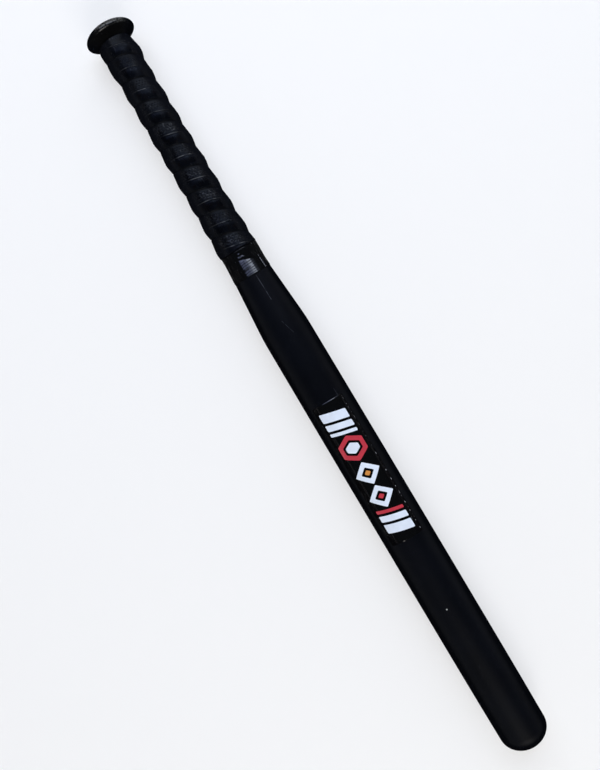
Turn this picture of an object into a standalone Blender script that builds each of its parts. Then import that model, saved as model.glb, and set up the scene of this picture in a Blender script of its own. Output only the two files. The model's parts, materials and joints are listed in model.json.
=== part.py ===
"""A wooden baseball bat that lies on its side: a turned billet with its knob, a padded tape wound round the
handle, a glossy band over the end of the tape, and a film label on the barrel. Metres, +Z up.

Places along the bat are distances from the face of the knob, and the bat points along +X. An empty on the
turning axis carries every piece. It sets the bat down on z = 0 with the middle of its length over x = 0.
"""

import math

import bmesh
import bpy
from mathutils import Matrix, Vector

# Knob: a flat face, a rounded rim and a back that flares smoothly down to the neck
KNOB_RADIUS = 0.0255
KNOB_FACE_RADIUS = 0.0105
RIM_DEPTH = 0.0078
KNOB_BACK_LENGTH = 0.0084
NECK_RADIUS = 0.0159

# Handle: thinnest where the flare of the neck ends, then it swells towards the taper
FLARE_LENGTH = 0.040
HANDLE_RADIUS = 0.0154
HANDLE_LENGTH = 0.2645
HANDLE_END_RADIUS = 0.0197
SWELL_STEADY_SHARE = 0.3
SWELL_POWER = 5

# Taper and barrel: a straight cone, a rounded shoulder, a slight crown and a round tip
TAPER_LENGTH = 0.0690
SHOULDER_RADIUS = 0.02415
SHOULDER_ROUND = 0.018
BARREL_LENGTH = 0.4443
BARREL_RADIUS = 0.0247
CROWN_PLACE = 0.290
TIP_RADIUS = 0.0242
TIP_LENGTH = 0.0190

# Grip tape: one strip, thicker along its middle than at its edges
GRIP_START_PAST_NECK = 0.0007
GRIP_LENGTH = 0.2366
TAPE_PITCH = 0.0248
TAPE_TURN_GAP = 0.0006
TAPE_EDGE_THICKNESS = 0.00075
TAPE_CREST_THICKNESS = 0.00195
TAPE_CREST_SHARE = 0.6
TAPE_START_ANGLE = math.radians(22)
TAPE_TAIL_WIDTH = 0.002
START_LAP_THICKNESS = 0.0014
START_LAP_LENGTH = 0.034

# Finishing band: it bridges the step down from the tape to the wood
BAND_LENGTH = 0.0280
BAND_THICKNESS = 0.0002
BAND_TAPE_STEP = 0.0009
BAND_TO_TAPE_GAP = 0.0004

# Label: a film with rounded corners, bent round the barrel
LABEL_FROM_SHOULDER = 0.0722
LABEL_LENGTH = 0.1515
LABEL_WIDTH = 0.0365
LABEL_THICKNESS = 0.0002
LABEL_CORNER = 0.0020
LABEL_LEAN = math.radians(4.85)

# Clearance that lies between a piece and what it is stuck to
SEAT_GAP = 0.0003

# Fineness of the meshes
BODY_SIDES = 48
TAPE_STEPS = 24
TAPE_FACE_POINTS = 6
LABEL_ROWS = 12
LABEL_COLUMNS = 4
CORNER_ROWS = 3

# Places along the bat
NECK = RIM_DEPTH + KNOB_BACK_LENGTH
TAPER_START = NECK + HANDLE_LENGTH
SHOULDER = TAPER_START + TAPER_LENGTH
TIP_START = SHOULDER + BARREL_LENGTH
LENGTH = TIP_START + TIP_LENGTH
GRIP_START = NECK + GRIP_START_PAST_NECK
GRIP_END = GRIP_START + GRIP_LENGTH
BAND_START = GRIP_END + BAND_TO_TAPE_GAP
BAND_END = BAND_START + BAND_LENGTH
LABEL_START = SHOULDER + LABEL_FROM_SHOULDER


def clear_scene():
    for old in list(bpy.data.objects):
        bpy.data.objects.remove(old, do_unlink=True)


def material(name, color, roughness, coat=0.0):
    """A Principled material with one plain colour."""
    made = bpy.data.materials.new(name)
    made.use_nodes = True
    shader = made.node_tree.nodes["Principled BSDF"]
    shader.inputs["Base Color"].default_value = (*color, 1.0)
    shader.inputs["Roughness"].default_value = roughness
    shader.inputs["Metallic"].default_value = 0.0
    shader.inputs["Coat Weight"].default_value = coat
    return made


def add_piece(name, bm, surface, axis):
    """An object on the turning axis from a finished bmesh, with smooth shading and sharp real edges."""
    bmesh.ops.recalc_face_normals(bm, faces=bm.faces[:])
    mesh = bpy.data.meshes.new(name)
    bm.to_mesh(mesh)
    bm.free()
    mesh.shade_smooth()
    mesh.set_sharp_from_angle(angle=math.radians(35))
    mesh.materials.append(surface)
    piece = bpy.data.objects.new(name, mesh)
    bpy.context.collection.objects.link(piece)
    piece.parent = axis
    return piece


def quarter(share):
    """Height of a quarter circle that starts steeply: 0 at share 0, 1 at share 1."""
    return math.sqrt(max(0.0, 1.0 - (1.0 - share) ** 2))


def half_wave(share):
    """A smooth rise from 0 to 1 that is level at both ends."""
    return (1.0 - math.cos(math.pi * share)) / 2


def blend(a, b, share):
    return a + (b - a) * share


def handle_radius(place):
    """The flare of the neck, then a swell that is slow along the hand's length and quick near the taper."""
    along = place - NECK
    flare = (NECK_RADIUS - HANDLE_RADIUS) * max(0.0, 1.0 - along / FLARE_LENGTH) ** 2
    share = max(0.0, (along - FLARE_LENGTH) / (HANDLE_LENGTH - FLARE_LENGTH))
    swell = SWELL_STEADY_SHARE * share + (1.0 - SWELL_STEADY_SHARE) * share**SWELL_POWER
    return HANDLE_RADIUS + flare + (HANDLE_END_RADIUS - HANDLE_RADIUS) * swell


def taper_radius(place):
    """A straight cone whose last stretch rounds over into the barrel."""
    slope = (SHOULDER_RADIUS - HANDLE_END_RADIUS) / (TAPER_LENGTH - SHOULDER_ROUND / 2)
    cone = HANDLE_END_RADIUS + slope * (place - TAPER_START)
    into_round = max(0.0, place - (SHOULDER - SHOULDER_ROUND))
    return cone - slope * into_round**2 / (2 * SHOULDER_ROUND)


def barrel_radius(place):
    """A crown: the barrel is widest some way along, and falls off towards the tip."""
    along = place - SHOULDER
    if along < CROWN_PLACE:
        return BARREL_RADIUS - (BARREL_RADIUS - SHOULDER_RADIUS) * (1.0 - along / CROWN_PLACE) ** 2
    share = (along - CROWN_PLACE) / (BARREL_LENGTH - CROWN_PLACE)
    return blend(BARREL_RADIUS, TIP_RADIUS, share**3)


def wood_radius(place):
    """Radius of the billet at a distance from the knob's face."""
    if place < RIM_DEPTH:
        return blend(KNOB_FACE_RADIUS, KNOB_RADIUS, quarter(place / RIM_DEPTH))
    if place < NECK:
        return blend(KNOB_RADIUS, NECK_RADIUS, half_wave((place - RIM_DEPTH) / KNOB_BACK_LENGTH))
    if place < TAPER_START:
        return handle_radius(place)
    if place < SHOULDER:
        return taper_radius(place)
    if place < TIP_START:
        return barrel_radius(place)
    return TIP_RADIUS * quarter((LENGTH - place) / TIP_LENGTH)


def even_places(start, end, steps):
    return [blend(start, end, i / steps) for i in range(steps)]


def round_places(start, end, steps, steep_first):
    """Places that keep even angles round a quarter circle, close together where it is steep."""
    angles = [math.pi / 2 * i / steps for i in range(steps)]
    if steep_first:
        return [blend(start, end, 1.0 - math.cos(angle)) for angle in angles]
    return [blend(start, end, math.sin(angle)) for angle in angles]


def profile_places():
    """Where the billet's outline has a point, from the knob's face to the tip."""
    round_start = SHOULDER - SHOULDER_ROUND
    return (
        round_places(0.0, RIM_DEPTH, 6, True)
        + even_places(RIM_DEPTH, NECK, 10)
        + even_places(NECK, NECK + FLARE_LENGTH, 5)
        + even_places(NECK + FLARE_LENGTH, TAPER_START, 10)
        + even_places(TAPER_START, round_start, 1)
        + even_places(round_start, SHOULDER, 4)
        + even_places(SHOULDER, SHOULDER + CROWN_PLACE, 4)
        + even_places(SHOULDER + CROWN_PLACE, TIP_START, 3)
        + round_places(TIP_START, LENGTH, 7, False)
    )


def turned(bm, outline, sides):
    """Turns an outline of (place, radius) points about the X axis. A flat side faces straight down."""
    start = Matrix.Rotation(math.pi / sides, 3, "X")
    points = [bm.verts.new(start @ Vector((place, 0.0, radius))) for place, radius in outline]
    edges = [bm.edges.new(pair) for pair in zip(points, points[1:])]
    bmesh.ops.spin(
        bm,
        geom=points + edges,
        cent=(0, 0, 0),
        axis=(1, 0, 0),
        angle=2 * math.pi,
        steps=sides,
        use_merge=True,
    )
    bmesh.ops.remove_doubles(bm, verts=bm.verts[:], dist=1e-6)


def build_body(axis, surface):
    """The billet: its outline starts and ends on the turning axis, so the solid is closed."""
    outline = [(0.0, 0.0)]
    outline += [(place, wood_radius(place)) for place in profile_places()]
    outline.append((LENGTH, 0.0))
    bm = bmesh.new()
    turned(bm, outline, BODY_SIDES)
    return add_piece("bat_body", bm, surface, axis)


def clear_of_wood(place, step_angle):
    """Radius of a corner whose flat sides, step_angle long, keep the clearance to the wood."""
    return (wood_radius(place) + SEAT_GAP) / math.cos(step_angle / 2)


def tape_thickness(share, place):
    """Thickness at a share of the strip's width. It lies double over the first stretch of the grip."""
    if share < TAPE_CREST_SHARE:
        rise = half_wave(share / TAPE_CREST_SHARE)
    else:
        rise = half_wave((1.0 - share) / (1.0 - TAPE_CREST_SHARE))
    along_lap = min(1.0, (place - GRIP_START) / START_LAP_LENGTH)
    lap = START_LAP_THICKNESS * math.sin(math.pi * along_lap) ** 2
    return blend(TAPE_EDGE_THICKNESS, TAPE_CREST_THICKNESS, rise) + lap


def tape_section(turns):
    """One cut across the strip, after this many turns: its face, then its back. It is trimmed where the
    strip starts and ends, so both ends of the grip are square to the bat."""
    width = TAPE_PITCH - TAPE_TURN_GAP
    far_edge = GRIP_START + TAPE_PITCH * turns
    near_edge = far_edge - width
    first = max(near_edge, GRIP_START)
    last = min(far_edge, GRIP_END)
    step_angle = 2 * math.pi / TAPE_STEPS
    turn = Matrix.Rotation(TAPE_START_ANGLE - 2 * math.pi * turns, 3, "X")
    face = []
    for i in range(TAPE_FACE_POINTS):
        place = blend(first, last, i / (TAPE_FACE_POINTS - 1))
        thickness = tape_thickness((place - near_edge) / width, place)
        face.append((place, clear_of_wood(place, step_angle) + thickness))
    back = [(place, clear_of_wood(place, step_angle)) for place in (last, first)]
    return [turn @ Vector((place, radius, 0.0)) for place, radius in face + back]


def least_gap(sections):
    """The smallest distance between points of neighbouring turns."""
    least = math.inf
    for i, section in enumerate(sections):
        for later in sections[i + TAPE_STEPS - 1 : i + TAPE_STEPS + 2]:
            for point in section:
                least = min(least, min((point - other).length for other in later))
    return least


def build_tape(axis, surface):
    """The strip: one unbroken tube along a helix, which climbs from the knob like a left-hand thread."""
    width = TAPE_PITCH - TAPE_TURN_GAP
    first_turns = TAPE_TAIL_WIDTH / TAPE_PITCH
    last_turns = (GRIP_LENGTH + width - TAPE_TAIL_WIDTH) / TAPE_PITCH
    steps = math.ceil((last_turns - first_turns) * TAPE_STEPS)
    sections = [tape_section(blend(first_turns, last_turns, i / steps)) for i in range(steps + 1)]
    gap = least_gap(sections)
    print(f"grip_tape: {last_turns - first_turns:.2f} turns, least gap to itself {gap * 1000:.2f} mm")
    bm = bmesh.new()
    rings = [[bm.verts.new(point) for point in section] for section in sections]
    for ring, following in zip(rings, rings[1:]):
        for i in range(len(ring)):
            corner = i - 1
            bm.faces.new((ring[corner], ring[i], following[i], following[corner]))
    bm.faces.new(rings[0])
    bm.faces.new(rings[-1])
    return add_piece("grip_tape", bm, surface, axis)


def build_band(axis, surface):
    """The band: a closed ring of film. Its outside starts level with the tape, then follows the wood."""
    step_angle = 2 * math.pi / BODY_SIDES
    level = clear_of_wood(BAND_START, step_angle) + BAND_TAPE_STEP
    places = even_places(BAND_START, BAND_END, 5) + [BAND_END]
    inside = [(place, clear_of_wood(place, step_angle)) for place in places]
    outside = [(place, max(level, radius + BAND_THICKNESS)) for place, radius in inside]
    outline = inside + outside[::-1]
    bm = bmesh.new()
    turned(bm, outline + outline[:1], BODY_SIDES)
    return add_piece("grip_end_band", bm, surface, axis)


def label_rows():
    """(distance across the label, how far its ends are drawn in) from one long edge to the other."""
    rows = []
    for i in range(CORNER_ROWS):
        angle = math.pi / 2 * i / CORNER_ROWS
        rows.append((LABEL_CORNER * (1.0 - math.cos(angle)), LABEL_CORNER * (1.0 - math.sin(angle))))
    for place in even_places(LABEL_CORNER, LABEL_WIDTH - LABEL_CORNER, LABEL_ROWS):
        rows.append((place, 0.0))
    rows.append((LABEL_WIDTH - LABEL_CORNER, 0.0))
    return rows + [(LABEL_WIDTH - across, drawn_in) for across, drawn_in in rows[CORNER_ROWS - 1 :: -1]]


def build_label(axis, surface):
    """The label: a film that keeps its clearance to the barrel on the inside, leaning to the -Y side."""
    step_angle = LABEL_WIDTH / LABEL_ROWS / SHOULDER_RADIUS
    bm = bmesh.new()
    grids = []
    for lift in (0.0, LABEL_THICKNESS):
        grid = []
        for across, drawn_in in label_rows():
            first = LABEL_START + drawn_in
            last = LABEL_START + LABEL_LENGTH - drawn_in
            row = []
            for place in even_places(first, last, LABEL_COLUMNS) + [last]:
                radius = clear_of_wood(place, step_angle) + lift
                turn = Matrix.Rotation((across - LABEL_WIDTH / 2) / radius + LABEL_LEAN, 3, "X")
                row.append(bm.verts.new(turn @ Vector((place, 0.0, radius))))
            grid.append(row)
        grids.append(grid)
    for grid in grids:
        for row, following in zip(grid, grid[1:]):
            for i in range(LABEL_COLUMNS):
                bm.faces.new((row[i], row[i + 1], following[i + 1], following[i]))
    rims = [label_rim(grid) for grid in grids]
    for i in range(len(rims[0])):
        corner = i - 1
        bm.faces.new((rims[0][corner], rims[0][i], rims[1][i], rims[1][corner]))
    return add_piece("barrel_label", bm, surface, axis)


def label_rim(grid):
    """The points round the edge of a grid, in order."""
    right = [row[-1] for row in grid[1:-1]]
    left = [row[0] for row in grid[1:-1]]
    return grid[0] + right + grid[-1][::-1] + left[::-1]


def main():
    clear_scene()
    axis = bpy.data.objects.new("turning_axis", None)
    bpy.context.collection.objects.link(axis)
    axis.location = (-LENGTH / 2, 0.0, KNOB_RADIUS * math.cos(math.pi / BODY_SIDES))
    build_body(axis, material("black_paint", (0.010, 0.011, 0.014), 0.33, 0.3))
    build_tape(axis, material("padded_tape", (0.018, 0.018, 0.021), 0.6))
    build_band(axis, material("glossy_film", (0.008, 0.009, 0.011), 0.08))
    build_label(axis, material("label_film", (0.009, 0.009, 0.011), 0.12))


main()
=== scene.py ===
"""The finished look of a wooden baseball bat that lies on a pale floor and is seen from straight above.

A turned billet in satin black paint, a padded tape wound round the handle like a left-hand thread, a
glossy film that closes the tape's end, and a film label with a plain geometric print. Lengths are in
metres. Places along the bat are distances from the knob's face. Angles round it start on top and grow
towards +Y.
"""

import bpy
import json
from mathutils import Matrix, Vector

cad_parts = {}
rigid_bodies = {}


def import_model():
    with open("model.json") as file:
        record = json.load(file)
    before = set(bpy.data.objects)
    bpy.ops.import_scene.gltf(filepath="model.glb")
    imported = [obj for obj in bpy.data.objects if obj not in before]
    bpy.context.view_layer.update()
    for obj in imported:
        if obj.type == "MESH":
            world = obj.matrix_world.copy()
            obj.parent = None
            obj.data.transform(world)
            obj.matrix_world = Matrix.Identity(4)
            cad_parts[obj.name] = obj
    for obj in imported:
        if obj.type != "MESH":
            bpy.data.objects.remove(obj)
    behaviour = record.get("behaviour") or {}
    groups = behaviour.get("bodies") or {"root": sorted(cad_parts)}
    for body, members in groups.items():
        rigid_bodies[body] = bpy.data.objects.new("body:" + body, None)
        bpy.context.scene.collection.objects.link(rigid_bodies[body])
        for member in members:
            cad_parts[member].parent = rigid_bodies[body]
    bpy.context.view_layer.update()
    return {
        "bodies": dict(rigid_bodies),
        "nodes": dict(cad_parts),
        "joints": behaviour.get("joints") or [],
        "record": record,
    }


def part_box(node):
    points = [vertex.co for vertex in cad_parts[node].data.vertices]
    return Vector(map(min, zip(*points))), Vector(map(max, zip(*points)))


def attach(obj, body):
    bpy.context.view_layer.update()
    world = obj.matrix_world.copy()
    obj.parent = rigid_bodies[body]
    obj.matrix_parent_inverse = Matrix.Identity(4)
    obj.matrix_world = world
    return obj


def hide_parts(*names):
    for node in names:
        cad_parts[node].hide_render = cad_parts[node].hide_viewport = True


bl_info = {
    "name": "Wooden bat",
    "version": (1, 0, 0),
    "blender": (4, 5, 0),
    "location": "View3D > Sidebar > Bat",
    "description": "Builds a painted wooden bat with a wound grip around its packed solids",
    "category": "Object",
}

import json
import math
from types import SimpleNamespace

import bmesh
import bpy
from bpy.props import FloatProperty, FloatVectorProperty, IntProperty, PointerProperty
from mathutils import Vector, noise

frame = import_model()

BODY = "root"
BILLET_LOW, BILLET_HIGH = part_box("bat_body")
TAPE_LOW, TAPE_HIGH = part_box("grip_tape")
BAND_LOW, BAND_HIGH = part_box("grip_end_band")
LABEL_LOW, LABEL_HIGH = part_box("barrel_label")
KNOB_FACE_X = BILLET_LOW.x
AXIS_HEIGHT = (BILLET_LOW.z + BILLET_HIGH.z) / 2
FULL_TURN = 2 * math.pi

# Points this close are made one, and edges this sharp aren't shaded smooth
MERGE_GAP = 1e-6
SHARP_ANGLE = math.radians(50)

# Middle of the padding round the handle, from the turning axis
HANDLE_REACH = 0.0175

# How many spots of noise one turn of the tape goes through
SPOTS_PER_TURN = 4.4

# Painted shade of the tape down in its holes, its seams and the valley beside them; colours of scratches, the
# fleck and dust; and painted glints on a line of creases in the label
PAINTED_TAPE_SHADE = (0.0004, 0.0004, 0.0005)
SCRATCH_COLOUR = (0.060, 0.064, 0.080)
FLECK_COLOUR = (0.42, 0.45, 0.44)
DUST_COLOUR = (0.10, 0.10, 0.11)
PAINTED_GLINT_COLOUR = (0.60, 0.62, 0.66)

# Scratches on the top of the bat: x and y of both ends, half the width, and strength
SCRATCHES = (
    ((-0.1231, 0.0023), (-0.0953, 0.0029), 0.00045, 1.0),
    ((-0.0725, 0.0007), (-0.0576, 0.0051), 0.00030, 0.7),
    ((0.0077, 0.0104), (0.0153, 0.0108), 0.00035, 0.7),
)

# A pale fleck on the barrel: place, angle and radius, and how far from its middle it fades in
FLECK = (0.6495, -0.193, 0.0247)
FLECK_EDGE = (0.0009, 0.0005)

# Where the painted shade on the knob's back fades in, from its face. The polish of its rim fades in and out
# between these places along the bat, and between these distances towards +Y
KNOB_SHADE = (0.022, 0.014)
POLISHED_ALONG = ((0.0032, 0.0052), (0.0098, 0.0088))
POLISHED_ACROSS = ((-0.014, -0.006), (0.022, 0.015))

# Points across the face of the tape: up to each share of its width, this many
TAPE_POINTS = ((0.06, 5), (0.42, 13), (0.62, 14), (0.94, 10), (1.0, 5))

# Relief of the tape in shares of its width: how far the welt sways, how far its ridge and the groove beside
# it lie from its middle, half their width, and how deep the groove is for a ridge of 1. Then the reach of
# both rolled edges, and where the wrinkles lie. They start in these turns
WELT_SWAY, RIDGE_OFF, GROOVE_OFF, WELT_REACH, GROOVE_DEPTH = 0.02, 0.025, 0.030, 0.035, 0.8
ROLL_REACH = (0.030, 0.025)
WRINKLED = (0.26, 0.26)
WRINKLED_TURNS = (1.6, 2.6)

# The tape strays this far along the bat, but not this near to its ends, and its cut edge swells a little
STRAY, STRAY_FREE = 0.0008, 0.010
CUT_SWELL, CUT_REACH = 0.00016, 0.0009

# Finish of the tape, as fades across the strip: where the holes start and stop, the painted shade of both
# seams from the edges, the painted shade beside them, and the polish of the welt from its middle, which lies
# this far off
PUNCHED = ((0.0016, 0.0026), (0.0112, 0.0100))
FIRST_SEAM, LAST_SEAM = (0.0010, 0.0002), (0.0009, 0.0002)
VALLEY = (0.0034, 0.0010)
WELT_POLISH, POLISH_OFF = (0.0007, 0.0002), 0.0003

# The holes fade in this far along the strip, past its lap. Their rows lie this many hole pitches apart
PAST_LAP = (0.17, 0.25)
ROW_SHARE = 0.87

# Relief of the finishing film, with (middle, half width) along it or round the bat
STEP_END = (0.0125, 0.0140)
LIP_ALONG = (0.0016, 0.0014)
LIP_RISE, LIP_FALL = 0.055, 0.060
DENTS_ALONG, DENTS_ROUND = (0.0066, 0.0058), (-0.09, 0.26)
FILM_CREASE, CREASE_PLACE, CREASE_SLANT, CREASE_REACH = 0.00005, 0.01995, 0.0038, 0.0006
CREASE_ROUND = (0.05, 0.75)
STREAKS, STREAK_ANGLES = 0.00006, (0.62, 0.90)
SOFTNESS = 0.00002

# Relief of the label: how far in its edges are rounded and its first edge is raised, and the (middle, half
# width) of the puckers and tucks from their edges. The puckers are weaker on the -Y side
ROUNDED_EDGE, FIRST_EDGE, RIDGE_END = 0.0011, 0.0008, 0.0030
PUCKERED, WEAK_SIDE = (0.0016, 0.0011), 0.45
TUCKED, TUCK_PITCH, TUCK_SHARE = (0.0013, 0.0016), 0.0052, 0.2
CALM = 0.00004

# The fold at the label's corner: its place from both edges, direction, height, half width and reach
FOLD_PLACE, FOLD_WAY = (0.0028, 0.0026), (0.5, 0.87)
FOLD_HEIGHT, FOLD_HALF_WIDTH, FOLD_REACH = 0.00035, 0.0009, 0.0045

# How far the print's bars lean, in shares of its length
BAR_LEAN = 0.044

# Lamps: spot, aim, size, watts and colour. The window, in three pieces that get brighter, is what the
# glossy film mirrors. The panel gives the tape its sheen. The keys light the floor, and the one at the
# knob's end glints on the knob's rim and the tape.
LAMPS = {
    "window_low": ((-0.665, -0.505, 1.50), (-0.10, -0.505, 0.0), (0.81, 0.23), 1.35, (0.50, 0.58, 1.0)),
    "window_middle": ((-0.65, 0.09, 1.50), (-0.10, 0.09, 0.0), (0.38, 0.26), 1.05, (0.60, 0.68, 1.0)),
    "window_high": ((-0.65, 0.635, 1.50), (-0.10, 0.635, 0.0), (0.71, 0.26), 3.6, (0.74, 0.82, 1.0)),
    "panel": ((-1.10, 0.80, 1.50), (-0.25, 0.80, 0.0), (3.0, 1.0), 10.5, (0.64, 0.74, 1.0)),
    "key_knob_end": ((-1.9, 0.8, 1.4), (0.0, 0.8, 0.0), (3.0, 1.2), 34, (0.92, 0.96, 1.0)),
    "key_tip_end": ((1.9, -0.4, 1.4), (0.0, 0.0, 0.0), (1.5, 1.5), 35, (1.0, 0.96, 0.90)),
}

# x and y of the camera
CAMERA_OVER = (-0.0113, -0.0154)


def metres(description, default):
    return FloatProperty(description=description, default=default, unit="LENGTH", precision=5)


def degrees(description, default):
    return FloatProperty(description=description, default=math.radians(default), unit="ROTATION")


def fraction(description, default):
    return FloatProperty(description=description, default=default, subtype="FACTOR", min=0, max=1)


def count(description, default):
    return IntProperty(description=description, default=default)


def tint(description, default):
    return FloatVectorProperty(description=description, default=default, subtype="COLOR", min=0, max=1)


class BilletSizes(bpy.types.PropertyGroup):
    """Outline and paint of the turned wood."""

    length: metres("From the knob's face to the tip", BILLET_HIGH.x - BILLET_LOW.x)
    knob_radius: metres("Widest radius of the knob", BILLET_HIGH.y)
    knob_face_radius: metres("Flat part of the knob's end", 0.0105)
    rim_depth: metres("Length of the round between the knob's face and its rim", 0.0078)
    knob_back_length: metres("Length of the flare from the rim to the neck", 0.0084)
    neck_radius: metres("Radius where the knob's flare ends", 0.0159)
    flare_length: metres("Length over which the neck thins down to the handle", 0.040)
    handle_radius: metres("Thinnest radius of the handle", 0.0154)
    handle_length: metres("From the neck to the taper", 0.2645)
    handle_end_radius: metres("Radius where the taper starts", 0.0197)
    steady_share: fraction("Share of the swell that grows steadily", 0.3)
    swell_power: count("How late the rest of the swell comes", 5)
    taper_length: metres("Length of the cone between handle and barrel", 0.0690)
    shoulder_radius: metres("Radius where the barrel starts", 0.02415)
    shoulder_round: metres("Length that rounds the taper into the barrel", 0.018)
    barrel_radius: metres("Widest radius of the barrel", 0.0247)
    crown_place: metres("From the shoulder to the widest place", 0.290)
    tip_radius: metres("Radius where the rounded tip starts", 0.0242)
    tip_length: metres("Length of the rounded tip", 0.0190)
    sides: count("Flat sides of the turned mesh", 160)
    paint: tint("Black paint on the wood", (0.0014, 0.0019, 0.0036))
    dull: tint("The paint where it mirrors nothing", (0.0023, 0.0026, 0.0037))


class TapeSizes(bpy.types.PropertyGroup):
    """The padded strip that is wound round the handle."""

    start: metres("Place of the grip's first edge", TAPE_LOW.x - KNOB_FACE_X)
    end: metres("Place of the grip's last edge", TAPE_HIGH.x - KNOB_FACE_X)
    end_bow: metres("How much nearer the knob the grip ends below than on top", 0.0030)
    pitch: metres("How far one turn climbs", 0.0248)
    seam_gap: metres("Open width of the seam between two turns", 0.00016)
    start_angle: degrees("Where the first turn starts, from the +Y side upwards", 22)
    tail_width: metres("Width of the strip's cut ends", 0.002)
    seat: metres("From the wood to the underside of the strip", 0.0004)
    edge_thickness: metres("Thickness along the seam", 0.00075)
    crest_thickness: metres("Thickness of the padded ridge", 0.00195)
    crest_share: fraction("Where the ridge lies across the strip", 0.6)
    start_lap: metres("Extra thickness where the strip starts over itself", 0.0014)
    start_lap_length: metres("Length along the bat of that extra thickness", 0.034)
    dip_depth: metres("Depth of the soft dip along the seam", 0.00040)
    dip_share: fraction("Reach of the dip from the seam, across the strip", 0.17)
    welt_share: fraction("Where the raised line lies across the strip", 0.52)
    welt_height: metres("Height of the raised line", 0.00016)
    wrinkle: metres("Height of the wrinkles beside the seam", 0.00018)
    roll: metres("How far the strip's edges roll down", 0.00030)
    swell: metres("Height of the slow unevenness", 0.00016)
    lumps: metres("Height of the small lumps", 0.00008)
    hole_pitch: metres("Distance between the perforations", 0.0028)
    hole_radius: metres("Radius of a perforation", 0.00062)
    steps: count("Rings that the spin makes in one turn", 28)
    cuts: count("Rings added between two rings of the spin", 3)
    colour: tint("Colour of the tape", (0.0013, 0.0016, 0.0028))
    warm: tint("Colour of the tape's browner patches", (0.0019, 0.0016, 0.0021))
    dull: tint("The tape where it mirrors nothing", (0.0044, 0.0048, 0.0066))


class BandSizes(bpy.types.PropertyGroup):
    """The glossy film that goes once round the end of the tape."""

    start: metres("Place on top of the edge on the tape's side", BAND_LOW.x - KNOB_FACE_X)
    end: metres("Place on top of the edge on the barrel's side", BAND_HIGH.x - KNOB_FACE_X)
    bow: metres("How much nearer the knob the film lies below than on top", 0.0030)
    seat: metres("From the wood to the film's underside", 0.00005)
    height: metres("From the wood to the film's face", 0.0005)
    step: metres("From the wood to the film's face over the tape's end", 0.0012)
    step_slant: metres("How much higher the step is on the +Y side", 0.00043)
    lip_angle: degrees("Where the film's free end starts to stand up", 44.4)
    lip_height: metres("How far the film's free end stands up", 0.00080)
    fall: fraction("How much the film comes down towards the barrel, per length", 0.012)
    edge_roll: metres("Length over which the film's edges round off", 0.0006)
    edge_drop: metres("How far the film's edges lie under its face", 0.00020)
    ring_pitch: metres("Distance between the fine rings", 0.0023)
    ring_depth: metres("Depth of the fine rings", 0.000045)
    dent_depth: metres("Depth of the dents where the film bridges the step", 0.00034)
    rows: count("Faces of the mesh along the film", 168)
    sides: count("Faces of the mesh round the film", 360)
    colour: tint("Colour of the film", (0.0004, 0.0005, 0.0009))
    dull: tint("The film where it mirrors nothing", (0.0035, 0.0036, 0.0040))


class LabelSizes(bpy.types.PropertyGroup):
    """The film label and its print."""

    start: metres("Place of the label's first edge", LABEL_LOW.x - KNOB_FACE_X)
    length: metres("Length along the bat", LABEL_HIGH.x - LABEL_LOW.x)
    width: metres("Width round the barrel", 0.0365)
    corner: metres("Radius of the corners", 0.0020)
    lean: degrees("How far the label's middle lies towards the -Y side", 4.85)
    thickness: metres("Thickness of the film", 0.00012)
    seat: metres("From the paint to the film", 0.00003)
    rise: metres("How far the film's middle stands over its edges", 0.00014)
    first_ridge: metres("Height of the raised first edge", 0.00010)
    pucker: metres("Height of the puckers along the edges", 0.00032)
    pucker_pitch: metres("Distance between two puckers", 0.0091)
    # The white creases on this line are painted glints
    crease: metres("How far towards +Y the line of white creases lies", 0.0139)
    columns: count("Faces of the mesh along the label", 300)
    rows: count("Faces of the mesh across the label", 90)
    film: tint("Black of the label", (0.0005, 0.0005, 0.0008))
    dull: tint("The label where it mirrors nothing", (0.0022, 0.0021, 0.0026))


class PrintSizes(bpy.types.PropertyGroup):
    """The ink on the label: bars, a hexagon and two diamonds."""

    start: metres("From the label's edge to the print", 0.0077)
    length: metres("Length of the print", 0.1368)
    height: metres("Height of the print, round the barrel", 0.0268)
    middle: metres("How far the print sits towards +Y on the label", -0.0008)
    seat: metres("From the film to the ink's underside", 0.00002)
    thickness: metres("Thickness of the ink", 0.00004)
    stroke: metres("Width of the frames' lines", 0.0044)
    gap: metres("Open width between a frame and its core", 0.0023)
    corner: metres("Cut of the motifs' rounded corners", 0.0009)
    columns: count("Pieces that the ink is cut into lengthwise", 90)
    rows: count("Pieces that the ink is cut into round the barrel", 24)
    white: tint("White of the print", (0.80, 0.87, 0.97))
    red: tint("Red of the print", (0.55, 0.039, 0.060))
    orange: tint("Orange of the print", (0.70, 0.28, 0.057))


class StageSizes(bpy.types.PropertyGroup):
    """Floor, light and camera."""

    floor_radius: metres("Flat part of the floor", 2.4)
    sweep_radius: metres("Round between the floor and the backdrop", 0.7)
    backdrop_height: metres("Height of the backdrop", 1.7)
    floor: tint("Colour of the floor", (0.90, 0.90, 0.90))
    whiteness: fraction("Plain white in what is seen of the floor", 0.52)
    air: tint("Colour of the dim light from all sides", (0.80, 0.90, 1.0))
    air_strength: FloatProperty(description="Strength of that light", default=0.08)
    camera_height: metres("Height of the camera over the bat's axis", 0.8095)
    camera_turn: degrees("How far the bat leans in the picture", 59.23)
    lens: FloatProperty(description="Focal length in millimetres", default=38.7)


def forward(operation):
    """A method of Wire that works something out from the wire and any other value."""
    return lambda self, *others: self.sums(operation, self, *others)


def reflected(operation):
    """The same for an operator whose wire comes second, as in 1 - mask."""
    return lambda self, other: self.sums(operation, other, self)


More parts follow.
